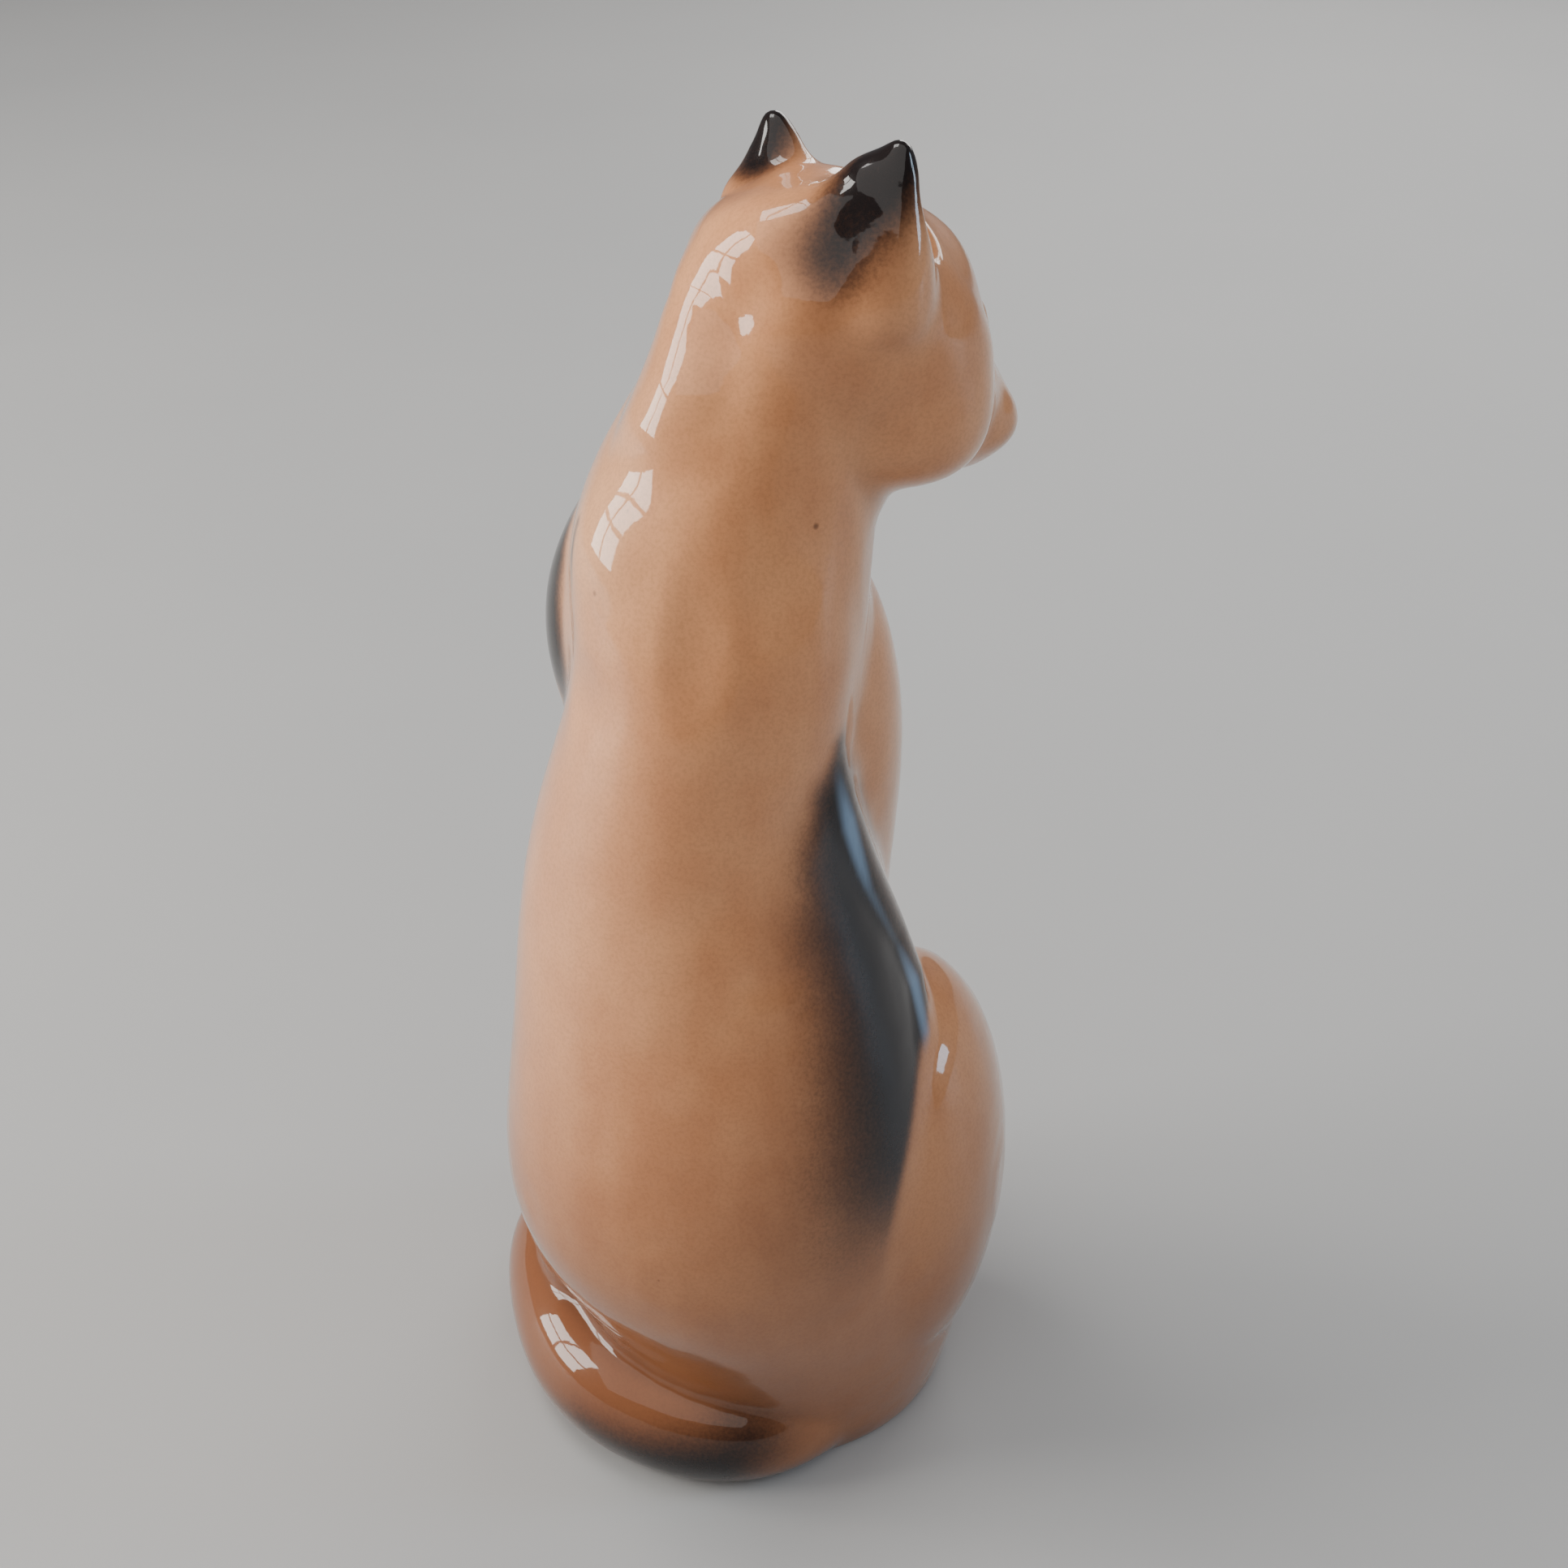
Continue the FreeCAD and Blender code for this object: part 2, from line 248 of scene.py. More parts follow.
class Clay:
    """The figure's field, with tools that change it near a place.

    The tools work on the grid. Those used since the last keep() are also kept in a list, so that
    the surface can be read again from their exact forms, finer than the grid.
    """

    def __init__(self, field):
        self.field = field
        self.keep()

    def keep(self):
        self.base = self.field.copy()
        self.tools = []

    def work(self, place, middle, size, change):
        """change takes the field's values and the places' own coordinates to the new values."""
        centre = place.world(middle)
        self.tools.append((place, centre, size, change))
        low = np.clip(((centre - size) / STEP - LOW).astype(int), 0, np.array(SHAPE) - 1)
        high = np.clip(((centre + size) / STEP - LOW).astype(int) + 2, 1, np.array(SHAPE))
        cut = tuple(slice(a, b) for a, b in zip(low, high))
        x, y, z = (AXES[a][cut[a]] for a in range(3))
        p = place.local((x[:, None, None], y[None, :, None], z[None, None, :]))
        self.field[cut] = change(self.field[cut], p)

    def touched(self, points):
        """Which points a kept tool may have moved."""
        met = np.zeros(len(points), bool)
        for _, centre, size, _ in self.tools:
            met |= np.abs(points - centre).max(axis=1) < size
        return met

    def value(self, points):
        """The worked field at points, from the kept grid and the later tools' own forms."""
        value = sample(self.base, points)
        for place, centre, size, change in self.tools:
            near = np.nonzero(np.abs(points - centre).max(axis=1) < size)[0]
            if len(near):
                value[near] = change(value[near], place.local(points[near].T))
        return value

    def slope(self, points, reach):
        gradient = np.empty_like(points)
        for axis in range(3):
            shift = np.zeros(3)
            shift[axis] = reach
            rise = self.value(points + shift) - self.value(points - shift)
            gradient[:, axis] = rise / (2 * reach)
        return gradient

    def add(self, place, middle, size, form, reach):
        self.work(place, middle, size, lambda v, p: soft_min(v, form(p), reach))

    def carve(self, place, middle, size, form, reach):
        self.work(place, middle, size, lambda v, p: -soft_min(-v, form(p), reach))

    def swell(self, place, centre, radii, amount):
        """Moves the surface out by amount, or in where it is negative, fading to the radii."""

        def change(v, p):
            far = sum((p[a] / radii[a]) ** 2 for a in range(3))
            return v - amount * np.maximum(1 - far, 0) ** 2

        self.work(place.child(centre), (0, 0, 0), max(radii), change)

    def ball(self, place, centre, radii, reach):
        size = max(radii) + 2 * reach + 1
        self.add(place.child(centre), (0, 0, 0), size, lambda p: ellipsoid(p, radii), reach)

    def dent(self, place, centre, radii, reach):
        size = max(radii) + 2 * reach + 1
        self.carve(place.child(centre), (0, 0, 0), size, lambda p: ellipsoid(p, radii), reach)

    def line(self, place, points, radii, reach, tool):
        """A rod through points, for add or carve."""
        middle = np.mean(points, axis=0)
        size = max(np.linalg.norm(np.array(p) - middle) for p in points) + max(radii) + 2 * reach + 0.5
        tool(place, middle, size, lambda p: strand(p, points, radii), reach)

    def find(self, place, x, z, start=-32.0):
        """Where the line along the place's +Y at x and z first meets the surface."""
        y = np.arange(start, 5.0, 0.1)
        points = np.array([place.world((x, v, z)) for v in y])
        met = np.nonzero(self.value(points) < 0)[0]
        return np.array((x, y[met[0]], z))


# ---------------------------------------------------------------- the frame's places


def middle_of(node):
    low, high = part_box(node)
    return np.array(low + high) / 2 / MM


HEAD_TURN, HEAD_NOD = -38.0, 20.0  # degrees
EYE_LINE = (0.0, -14.4, 2.0)  # the middle of the two eye beads in the head's own frame
HEAD_AXES = spin("Z", HEAD_TURN) @ spin("X", HEAD_NOD)
EYES_MIDDLE = (middle_of("left_eye") + middle_of("right_eye")) / 2
HEAD = Place(EYES_MIDDLE - np.array(HEAD_AXES) @ np.array(EYE_LINE), HEAD_AXES)
EAR_SEATS = {1: (6.4, 3.6, 5.4), -1: (-7.6, 4.5, 6.8)}
# Each paw's toe tips, x and y, and the gap between its toes.
PAWS = ((-7.07, -31.4, 2.0), (4.73, -31.4, 2.0), (-18.87, -28.2, 2.1), (13.93, -25.7, 1.9))


def ear_place(side):
    """The left ear's frame for side 1 and the right's for side -1, with Z up the ear."""
    turn = spin("Y", side * 14.0) @ spin("X", -15.0) @ spin("Z", side * 5.0)
    return HEAD.child(EAR_SEATS[side], turn)


VENT_PLUG = 3.0  # the radius over which the vent is stopped while the hollows are filled


def casting():
    """The clean outside of the CAD solids as a distance field, and which node is nearest.

    The hollows are filled, because the softening and the clay tools work on a solid figure.
    """
    nearest = np.full(SHAPE, REACH, np.float32)
    owner = np.zeros(SHAPE, np.int8)
    shells = None
    for index, node in enumerate(CLAY_NODES):
        field = distance_field(*node_arrays(node))
        closer = field < nearest
        owner[closer] = index
        nearest = np.minimum(nearest, field)
        if node == "head_shell":
            shells = nearest < 0.1
    height = AXES[2][None, None, :]
    over_vent = AXES[0][:, None, None] ** 2 + AXES[1][None, :, None] ** 2 < VENT_PLUG**2
    shells |= over_vent & (height > 0.2) & (height < 4.0)
    nearest[enclosed(shells)] = -REACH
    points, corners = surface(nearest, 0.05)
    return distance_field(points, corners), owner


FINE_BLUR, EVEN_BLUR, BROAD_BLUR, NAPE_BLUR = 0.5, 1.1, 2.6, 3.6
NAPE_FOOT = 84.0  # the height above which the nape's blur is worked out


def soften(field):
    """Thick glaze: creases fill and edges round, least on the ears and most at the nape and haunch."""
    fine, even, broad = (blur(field, sigma) for sigma in (FINE_BLUR, EVEN_BLUR, BROAD_BLUR))
    x, y, z = AXES[0][:, None, None], AXES[1][None, :, None], AXES[2][None, None, :]
    up = sum(c * a for c, a in zip(HEAD.turn[:, 2], (x, y, z))) - HEAD.turn[:, 2].dot(HEAD.origin)
    ears = ramp(up, 12.5, 15.5)
    low = 1 - ramp(z, 12.0, 20.0)
    made = even + (fine - even) * np.maximum(ears, 0.7 * low)
    haunch = 0.75 * ramp(z, 16.0, 24.0) * (1 - ramp(z, 60.0, 72.0)) * ramp(y, 2.0, 14.0)
    made += haunch * np.minimum(broad - made, 0)
    start = int(np.searchsorted(AXES[2], NAPE_FOOT))
    upper = made[:, :, start:]
    nape = ramp(z, 92.0, 104.0) * (1 - ramp(up, 13.0, 16.5))
    upper += nape[:, :, start:] * np.minimum(blur(upper, NAPE_BLUR) - upper, 0)
    return made


# Rods of clay along the back: points, radii and how far each blends.
NAPE = [(0.6, -7.5, 143.6), (-0.2, -4.7, 138.9), (-0.3, -0.4, 132.5), (2.5, 5.0, 124.0)]
EAR_RIDGE = [
    (-12.6, 1.2, 148.6), (-9.0, 1.4, 144.9), (-5.0, 2.0, 143.0), (-0.8, 0.3, 140.8),
    (1.0, 0.4, 137.2), (1.3, 3.4, 133.2), (1.8, 6.2, 129.6),
]
FLANK_FOLD = [
    (-11.2, 8.4, 93.0), (-11.9, 7.1, 85.0), (-13.6, 4.9, 76.0), (-15.8, 2.6, 67.5),
    (-18.1, 2.2, 61.0), (-19.9, 5.2, 56.0), (-20.8, 9.2, 51.0),
]
BACK_RODS = [
    (NAPE, [2.0, 5.4, 6.8, 6.6], 2.6),
    (EAR_RIDGE, [1.8, 2.6, 3.2, 3.4, 3.4, 3.2, 2.8], 3.4),
    (FLANK_FOLD, [1.2, 2.6, 3.0, 3.2, 3.2, 3.0, 1.6], 2.2),
]
# Swells about the shoulder blades: middle, radii and amount, which is negative for a hollow.
BACK_SWELLS = [
    ((9.0, 9.5, 114.0), (8.5, 8.0, 8.0), 1.0),
    ((4.5, 10.5, 124.2), (9.0, 7.0, 4.5), -0.5),
    ((-10.0, 10.5, 103.5), (7.0, 9.0, 14.0), 1.3),
    ((-10.0, 14.5, 88.5), (5.0, 6.0, 6.0), -0.5),
    ((-1.0, 16.0, 106.0), (4.5, 6.0, 13.0), -0.6),
    ((9.5, 14.5, 99.5), (7.0, 6.0, 6.0), -0.5),
]


def model_back(clay):
    """The nape, the ridge that runs on from the right ear, the flank's fold and the shoulder blades."""
    for points, radii, reach in BACK_RODS:
        clay.line(WORLD, points, radii, reach, clay.add)
    for middle, radii, amount in BACK_SWELLS:
        clay.swell(WORLD, middle, radii, amount)


def model_face(clay):
    """The whisker pads, cheeks, chin, bridge of the nose, forehead and the hollows below the eyes."""
    for side in (-1, 1):
        clay.ball(HEAD, (side * 3.2, -20.6, -7.4), (4.0, 4.2, 3.3), 1.6)
        clay.ball(HEAD, (side * 8.2, -7.6, -7.6), (5.2, 7.2, 6.0), 3.0)
    clay.ball(HEAD, (0, -17.9, -10.3), (3.4, 3.8, 2.3), 1.4)
    clay.line(HEAD, [(0, -12.0, 3.2), (0, -21.6, -4.8)], [2.8, 2.0], 2.6, clay.add)
    clay.swell(HEAD, (0, -10.5, 9.5), (12.0, 9.0, 8.5), 1.7)
    for side in (-1, 1):
        clay.swell(HEAD, (side * 7.2, -16.4, 0.6), (4.6, 5.0, 4.2), -0.7)


ALMOND_ROUND, ALMOND_HALF = 3.3, 1.75  # the lids' curve, and half the eye's height
CHEEK_ROUND = 11.0  # the face's curve about the eye
SOCKET_DEEP = 0.85
LID_THICK, LID_HEAVIER = 0.36, 0.12
EYE_ACROSS, EYE_UP, EYE_TILT = 5.9, 2.3, 13


def almond(p):
    """Across the eye's outline, and above the face there."""
    offset = ALMOND_ROUND - ALMOND_HALF
    above = np.hypot(p[0], p[2] + offset) - ALMOND_ROUND
    below = np.hypot(p[0], p[2] - offset) - ALMOND_ROUND
    height = -p[1] + (p[0] ** 2 + p[2] ** 2) / (2 * CHEEK_ROUND)
    return -soft_min(-above, -below, 0.5), height


def socket_form(p):
    """The hollow that the eye's bead sits in."""
    across, height = almond(p)
    return np.maximum(across, -(height + SOCKET_DEEP))


def lid_form(p):
    """A rim round the eye, heavier above."""
    across, height = almond(p)
    heavy = LID_THICK + LID_HEAVIER * ramp(p[2], -0.5, 1.2)
    return np.hypot(across - 0.3, height + 0.02) - heavy


def eye_place(clay, side):
    """A frame on the face at the eye: X outwards across it, Y into the head, Z up it."""
    seat = clay.find(HEAD, side * EYE_ACROSS, EYE_UP)
    point = HEAD.world(seat)
    inward = -clay.slope(point[None, :], 0.8)[0]
    inward /= np.linalg.norm(inward)
    up = HEAD.turn[:, 2] - inward * inward.dot(HEAD.turn[:, 2])
    up /= np.linalg.norm(up)
    axes = np.stack([np.cross(inward, up), inward, up], axis=1)
    return Place(point, axes).child((0, 0, 0), spin("Y", -side * EYE_TILT))


# Points across and up the face on the cat's left, which are mirrored on its right.
MOUTH = [(0.0, -9.2), (1.4, -10.3), (3.0, -10.6), (4.6, -9.9), (5.6, -8.8)]
WHISKER_PITS = [(2.2, -6.6), (3.7, -6.4), (2.0, -8.0), (3.4, -7.9), (4.8, -7.7)]
VENT_RADIUS, VENT_DEEP = 1.8, 7.0


def vent_form(p):
    """A round hole from below the floor up to the vent's depth."""
    return np.maximum(np.hypot(p[0], p[1]) - VENT_RADIUS, p[2] - VENT_DEEP)


def model_details(clay, eyes):
    """Sockets and lids, the mouth, the ears' hollows, toes, whisker pits and the vent."""
    for eye in eyes:
        clay.add(eye, (0, 0, 0), 5.0, lid_form, 0.5)
        clay.carve(eye, (0, 0, 0), 5.0, socket_form, 0.25)
    lip = [clay.find(HEAD, 0, z) for z in (-6.4, -7.8, -9.2)]
    clay.line(HEAD, lip, [0.22, 0.3, 0.34], 0.3, clay.carve)
    for side in (-1, 1):
        mouth = [clay.find(HEAD, side * x, z) for x, z in MOUTH]
        clay.line(HEAD, mouth, [0.34, 0.34, 0.32, 0.26, 0.12], 0.3, clay.carve)
        for x, z in WHISKER_PITS:
            clay.dent(HEAD, clay.find(HEAD, side * x, z), (0.26, 0.3, 0.26), 0.25)
        ear = ear_place(side)
        clay.dent(ear, (0, -4.6, 4.8), (3.7, 3.0, 5.6), 1.2)
        clay.line(ear, [(side * 2.6, -3.0, -0.6), (side * 3.6, -1.6, 2.6)], [0.9, 0.5], 1.2, clay.add)
    for x, y, gap in PAWS:
        for across in (-gap, 0.0, gap):
            toe = [
                (x + across * 0.8, y + 4.5, 8.2),
                (x + across, y + 0.7, 5.2),
                (x + across * 1.1, y - 0.6, 1.0),
            ]
            clay.line(WORLD, toe, [0.25, 0.5, 0.45], 0.7, clay.carve)
    clay.carve(WORLD, (0, 0, 3), 6.0, vent_form, 0.5)


# ---------------------------------------------------------------- the skin


def split_edges(points, corners, chosen):
    """Halves every edge whose middle is chosen, and cuts the triangles to fit."""
    edges = np.sort(np.concatenate([corners[:, [0, 1]], corners[:, [1, 2]], corners[:, [2, 0]]]), axis=1)
    unique, index = np.unique(edges, axis=0, return_inverse=True)
    index = index.reshape(3, -1).T
    middles = points[unique].mean(axis=1)
    halved = chosen(middles)
    number = np.full(len(unique), -1)
    number[halved] = len(points) + np.arange(halved.sum())
    points = np.concatenate([points, middles[halved]])
    mark = number[index]
    count = (mark >= 0).sum(axis=1)
    made = [corners[count == 0]]
    for turn in range(3):
        a, b, c = (corners[:, (turn + i) % 3] for i in range(3))
        ab, bc, ca = (mark[:, (turn + i) % 3] for i in range(3))
        one = (count == 1) & (ab >= 0)
        made += [np.stack(t, axis=1)[one] for t in ((a, ab, c), (ab, b, c))]
        two = (count == 2) & (ca < 0)
        made += [np.stack(t, axis=1)[two] for t in ((ab, b, bc), (a, ab, bc), (a, bc, c))]
        if turn == 0:
            full = count == 3
            parts = ((a, ab, ca), (ab, b, bc), (ca, bc, c), (ab, bc, ca))
            made += [np.stack(t, axis=1)[full] for t in parts]
    return points, np.concatenate(made)


def settle(clay, points, rounds=3):
    """Moves points onto the worked surface, in later rounds only where a tool is."""
    for turn in range(rounds):
        chosen = np.arange(len(points)) if turn == 0 else np.nonzero(clay.touched(points))[0]
        moved = points[chosen]
        rise = clay.slope(moved, 0.06)
        drop = clay.value(moved)[:, None] * rise / np.maximum((rise**2).sum(1), 0.1)[:, None]
        length = np.linalg.norm(drop, axis=1)[:, None]
        points[chosen] = moved - drop * np.minimum(1, 0.3 / np.maximum(length, 1e-9))
    return points


def near_places(points, spots):
    """Which points lie within any spot, a centre and a radius."""
    met = np.zeros(len(points), bool)
    for centre, radius in spots:
        met |= ((points - centre) ** 2).sum(1) < radius**2
    return met


def shares(points, corners, owner):
    """For each vertex, how far it belongs to each node, evened out along the edges."""
    cell = np.rint(points / STEP - LOW).astype(int)
    cell = np.clip(cell, 0, np.array(SHAPE) - 1)
    nearest = owner[cell[:, 0], cell[:, 1], cell[:, 2]]
    share = (nearest[:, None] == np.arange(len(CLAY_NODES))).astype(float)
    ends = np.concatenate([corners[:, [0, 1]], corners[:, [1, 2]], corners[:, [2, 0]]])
    count = np.bincount(ends[:, 0], minlength=len(points)) + 1.0
    for _ in range(5):
        for column in range(share.shape[1]):
            values = share[:, column]
            if values.any():
                around = np.bincount(ends[:, 0], weights=values[ends[:, 1]], minlength=len(points))
                share[:, column] = (values + around) / count
    return share


def make_mesh(name, points, corners, normals=None, traits=None):
    """A smooth piece from points in millimetres, with its traits as attributes for the materials."""
    mesh = bpy.data.meshes.new(name)
    mesh.vertices.add(len(points))
    mesh.vertices.foreach_set("co", (points * MM).astype(np.float32).ravel())
    mesh.loops.add(corners.size)
    mesh.loops.foreach_set("vertex_index", corners.astype(np.int32).ravel())
    mesh.polygons.add(len(corners))
    mesh.polygons.foreach_set("loop_start", np.arange(0, corners.size, 3, dtype=np.int32))
    mesh.polygons.foreach_set("use_smooth", np.ones(len(corners), bool))
    mesh.update(calc_edges=True)
    for trait, values in (traits or {}).items():
        mesh.attributes.new(trait, "FLOAT", "POINT").data.foreach_set("value", values.astype(np.float32))
    if normals is not None:
        mesh.normals_split_custom_set_from_vertices(normals.tolist())
    piece = bpy.data.objects.new(name, mesh)
    bpy.context.scene.collection.objects.link(piece)
    return piece


def make_pieces(points, corners, normals, traits, share):
    """Parts the skin along the nodes' joints, which stay invisible under the glaze."""
    owned = share[corners].sum(axis=1).argmax(axis=1)
    pieces = {}
    for index, node in enumerate(CLAY_NODES):
        mine = corners[owned == index]
        used, renumbered = np.unique(mine, return_inverse=True)
        mine = renumbered.reshape(-1, 3)
        held = {trait: values[used] for trait, values in traits.items()}
        piece = make_mesh(f"{node}_glazed", points[used], mine, normals[used], held)
        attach(piece, "root")
        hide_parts(node)
        pieces[node] = piece
    return pieces


# ---------------------------------------------------------------- the airbrushed colour

# Each stroke is a run of x, y, z, full radius and faded radius in millimetres, and strength.
FLANK_SMOKE = [
    [(-12.9, 8.4, 94.0, 0.1, 3.6, 0.8), (-13.0, 9.2, 88.5, 0.8, 7.0, 1), (-14.2, 9.9, 81.7, 1.3, 12.5, 1),
     (-16.3, 9.8, 74.9, 2.0, 17.0, 1), (-18.8, 9.4, 67.4, 3.0, 20.0, 1), (-21.0, 10.6, 60.8, 4.0, 22.0, 1),
     (-22.4, 12.6, 55.0, 4.0, 23.0, 1), (-22.0, 16.1, 50.1, 2.0, 22.0, 0.94),
     (-19.4, 22.1, 44.0, 0.1, 20.0, 0.6), (-17.5, 25.5, 36.0, 0.1, 17.0, 0.34)],
]
# The left shoulder, the tail round to the rump, and the rim at the floor.
SMOKE = [
    [(18.6, -1.6, 114.0, 0.6, 4.0, 0.9), (19.8, 0.8, 107.0, 2.6, 5.8, 1), (20.3, 2.2, 101.5, 2.8, 6.2, 1),
     (20.0, 3.6, 96.5, 2.0, 6.0, 1), (18.6, 6.2, 89.5, 0.1, 5.0, 0.7)],
    [(20.5, 21.5, 6.2, 0.1, 6.0, 0.35), (12.1, 27.1, 5.2, 0.4, 9.0, 0.8), (3.4, 29.3, 4.2, 1.4, 10.0, 0.95),
     (-4.4, 28.8, 5.2, 1.6, 10.5, 0.95), (-7.4, 26.8, 8.4, 0.6, 11.0, 0.8),
     (-8.4, 25.6, 14.5, 0.1, 9.5, 0.35)],
    [(20.5, 21.0, 1.0, 0.1, 6.0, 0.5), (4.0, 30.0, 0.2, 0.8, 6.5, 0.95), (-12.0, 25.0, 0.5, 0.4, 8.0, 0.6),
     (-20.0, 16.0, 0.5, 0.1, 6.0, 0.35)],
]
# The same on each ear, in the ear's own frame.
EAR_SMOKE = {
    1: [(0.3, 0.0, 12.5, 1.8, 5.0, 1), (0.2, 1.2, 7.0, 1.4, 5.4, 0.95), (-0.4, 2.4, 3.0, 0.1, 5.4, 0.55)],
    -1: [(0.0, 0.0, 12.5, 2.4, 5.4, 1), (-0.6, 1.5, 7.0, 2.2, 7.0, 1), (-1.4, 3.4, 1.0, 1.0, 8.0, 0.9),
         (-1.6, 5.2, -5.0, 0.1, 8.0, 0.35)],
}
# A fine dark line behind the left shoulder.
THIN_SMOKE = [
    [(13.4, 8.2, 115.5, 0.15, 0.9, 0.8), (14.4, 9.8, 111.0, 0.2, 1.0, 0.8),
     (15.2, 10.8, 106.0, 0.1, 0.9, 0.6)],
]
# A painted stand-in for the blue reflection along the crest of the flank's fold, which no light here gives.
CREST_SHEEN = [
    [(-12.3, 9.2, 92.5, 0.1, 1.2, 0.4), (-14.1, 8.6, 85.0, 0.5, 1.7, 0.8), (-15.6, 7.1, 75.8, 0.3, 1.4, 0.9),
     (-17.9, 4.9, 67.7, 0.3, 1.5, 1), (-20.3, 4.3, 62.2, 0.5, 1.9, 1), (-22.2, 6.3, 57.4, 0.4, 1.7, 0.8),
     (-22.4, 8.6, 53.5, 0.1, 1.2, 0.3)],
]
# The right thigh, which the flank's soot stops at.
THIGH_MIDDLE, THIGH_RADII = (-18.07, -0.55, 31.0), (13.2, 20.0, 28.5)


def sprayed(points, strokes):
    """How dark the strokes leave each point, 0 to 1."""
    dark = np.zeros(len(points))
    for stroke in strokes:
        for start, end in zip(np.array(stroke, float), np.array(stroke, float)[1:]):
            along = end[:3] - start[:3]
            t = np.clip((points - start[:3]) @ along / along.dot(along), 0, 1)
            away = np.linalg.norm(points - start[:3] - t[:, None] * along, axis=1)
            full, faded, strength = (start[i] + (end[i] - start[i]) * t for i in (3, 4, 5))
            fade = np.clip((faded - away) / (faded - full), 0, 1)
            dark = np.maximum(dark, strength * fade)
    return dark


def smoke_of(points, arm):
    """All the sprayed soot. The flank's stops at the thigh and at the right foreleg."""
    thigh = Place(THIGH_MIDDLE).local(points.T)
    beyond = ramp(ellipsoid(thigh, THIGH_RADII), 0.2, 2.4) * (1 - ramp(arm, 0.35, 0.9))
    dark = np.maximum(sprayed(points, SMOKE), beyond * sprayed(points, FLANK_SMOKE))
    for side, stroke in EAR_SMOKE.items():
        place = ear_place(side)
        local = np.stack(place.local(points.T), axis=1)
        dark = np.maximum(dark, sprayed(local, [stroke]))
    return dark


def traits_of(points, normals, field, share):
    """What the glaze's colours depend on at each vertex."""
    x, y, z = points.T
    broad = sample(blur(field, 1.8), points)
    traits = {}
    traits["smoke"] = smoke_of(points, share[:, CLAY_NODES.index("right_foreleg")])
    traits["line"] = sprayed(points, THIN_SMOKE)
    traits["pool"] = ramp(-broad, 0.05, 0.6)
    traits["thin"] = ramp(broad, 0.15, 0.8)
    left = ramp(x + 0.25 * y, 0.0, 20.0)
    # Lighter up the left side: partly the glaze's own cream and partly a painted highlight.
    traits["cream"] = left * (0.3 * ramp(z, 40.0, 80.0) + 0.7 * ramp(z, 96.0, 128.0))
    # Painted shade: darker towards the bottom, and more so on the left side.
    traits["low_shade"] = (1 - ramp(z, 8.0, 80.0)) * (0.85 + 0.3 * left)
    traits["sheen"] = sprayed(points, CREST_SHEEN)
    traits["bare"] = (1 - ramp(z, 0.1, 0.5)) * ramp(-normals[:, 2], 0.8, 0.95)
    return traits


# ---------------------------------------------------------------- eyes and nose

BEAD_STEP = 0.1  # the beads' own grid spacing
EYE_SIZE, NOSE_SIZE = 3.4, 3.0  # half the width of the box each is drawn in


def small_form(size, step, form):
    """A small closed form about the origin, on its own fine grid: points and triangles."""
    count = int(math.ceil(size / step))
    axis = (np.arange(-count, count + 1) * step).astype(np.float32)
    p = np.broadcast_arrays(axis[:, None, None], axis[None, :, None], axis[None, None, :])
    grid = vdb.FloatGrid(1.0)
    grid.copyFromArray(np.ascontiguousarray(np.clip(form(p), -1, 1), np.float32))
    grid.transform = vdb.createLinearTransform(voxelSize=step)
    points, corners = polygons(grid, 0.0)
    points = points - count * step
    return points, outward(points, corners)


def outward(points, corners):
    """The triangles, wound so that the solid's volume is positive."""
    a, b, c = (points[corners[:, i]] for i in range(3))
    volume = np.einsum("ij,ij->i", a, np.cross(b, c)).sum()
    return corners if volume > 0 else corners[:, ::-1]


def eyeball_form(p):
    """The eye's bead, with a cornea that stands a little proud."""
    ball = ellipsoid((p[0], p[1] - 1.15, p[2]), (2.9, 1.45, 2.15))
    cornea = ellipsoid((p[0], p[1] - 0.75, p[2]), (1.5, 0.98, 1.5))
    return soft_min(ball, cornea, 0.5)


def make_eye(name, eye, side):
    """An eye's bead, with where each point lies on the eye for the iris, pupil and rim."""
    points, corners = small_form(EYE_SIZE, BEAD_STEP, eyeball_form)
    traits = {"across": points[:, 0] * side, "up": points[:, 2]}
    across, _ = almond(points.T)
    traits["rim"] = ramp(across, -0.75, -0.1)
    world = np.array([eye.world(p) for p in points])
    piece = make_mesh(f"{name}_enamel", world, corners, None, traits)
    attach(piece, "root")
    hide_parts(name)
    return piece


def nose_form(p):
    """The nose leather: two wings, a point below them and the nostrils."""
    up = ellipsoid((p[0] - 1.0, p[1], p[2] - 0.45), (1.25, 0.95, 0.85))
    other = ellipsoid((p[0] + 1.0, p[1], p[2] - 0.45), (1.25, 0.95, 0.85))
    low = ellipsoid((p[0], p[1] + 0.05, p[2] + 0.6), (1.0, 0.95, 1.0))
    pad = soft_min(soft_min(up, other, 0.8), low, 0.8)
    for side in (-1, 1):
        pit = strand(p, [(side * 0.75, -0.85, -0.35), (side * 1.5, -0.55, 0.0)], [0.24, 0.16])
        pad = -soft_min(-pad, pit, 0.25)
    return pad


def make_nose(clay):
    seat = clay.find(HEAD, 0, -5.0)
    place = HEAD.child(seat + np.array((0, 0.55, 0)), spin("X", -28))
    points, corners = small_form(NOSE_SIZE, BEAD_STEP, nose_form)
    traits = {"pit": ramp(np.abs(points[:, 0]), 0.3, 0.9) * ramp(-points[:, 2], -0.3, 0.3)}
    world = np.array([place.world(p) for p in points])
    piece = make_mesh("nose_leather_enamel", world, corners, None, traits)
    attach(piece, "root")
    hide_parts("nose_leather")
    return piece


# ---------------------------------------------------------------- materials


